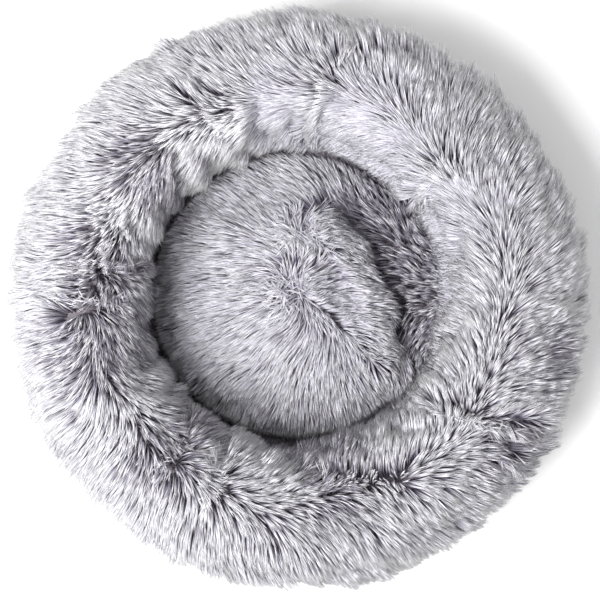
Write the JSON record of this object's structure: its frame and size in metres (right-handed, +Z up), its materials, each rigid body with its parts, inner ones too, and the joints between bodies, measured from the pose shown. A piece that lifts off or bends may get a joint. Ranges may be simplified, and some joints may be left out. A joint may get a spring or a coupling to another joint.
{
  "type": "round plush pet bed",
  "caption": "Round pet bed: a long-pile plush ring bolster around a low padded well, in a cover that zips open underneath.",
  "frame": {"origin": "middle of the resting plane under the bed", "axes": "+Z up, out of the well; +X along the zip in the underside, towards its closed end; +Y towards the care label"},
  "size_m": [0.5999, 0.6, 0.195],
  "materials": {
    "plush": "long-pile faux fur, soft grey with near-white tips",
    "liner": "thin white non-woven",
    "fibre_fill": "white polyester fibre",
    "base_fabric": "grey coated plain weave",
    "grip_dots": "matt moulded dots",
    "binding_tape": "grey woven tape",
    "thread": "twisted polyester thread",
    "zip_tape": "grey woven zip tape",
    "zip_coil": "grey nylon coil",
    "zip_metal": "satin plated die-cast metal",
    "label": "white satin tape, blank"
  },
  "bodies": {
    "bed": {"bolster_cover": "plush", "bolster_liner": "liner", "bolster_fill": "fibre_fill", "well_panel": "plush", "pad_liner": "liner", "pad_fill": "fibre_fill", "base_panel_front": "base_fabric", "base_panel_rear": "base_fabric", "anti_slip_dots": "grip_dots", "edge_binding": "binding_tape", "edge_stitching": "thread", "well_seam_stitching": "thread", "zip_tape_front": "zip_tape", "zip_tape_rear": "zip_tape", "zip_coil_front": "zip_coil", "zip_coil_rear": "zip_coil", "zip_top_stops": "zip_metal", "zip_bottom_stop": "zip_metal", "zip_stitching": "thread", "care_label": "label"},
    "slider": {"zip_slider": "zip_metal"},
    "pull_tab": {"zip_pull_tab": "zip_metal"}
  },
  "joints": [
    {"name": "zip_travel", "type": "slide", "parent": "bed", "child": "slider", "axis": [-1, 0, 0], "range_m": [0, 0.4166]},
    {"name": "pull_swing", "type": "hinge", "parent": "slider", "child": "pull_tab", "pos_m": [0.20831, 0, 0.00525], "axis": [0, -1, 0], "range_deg": [0, 170]}
  ]
}
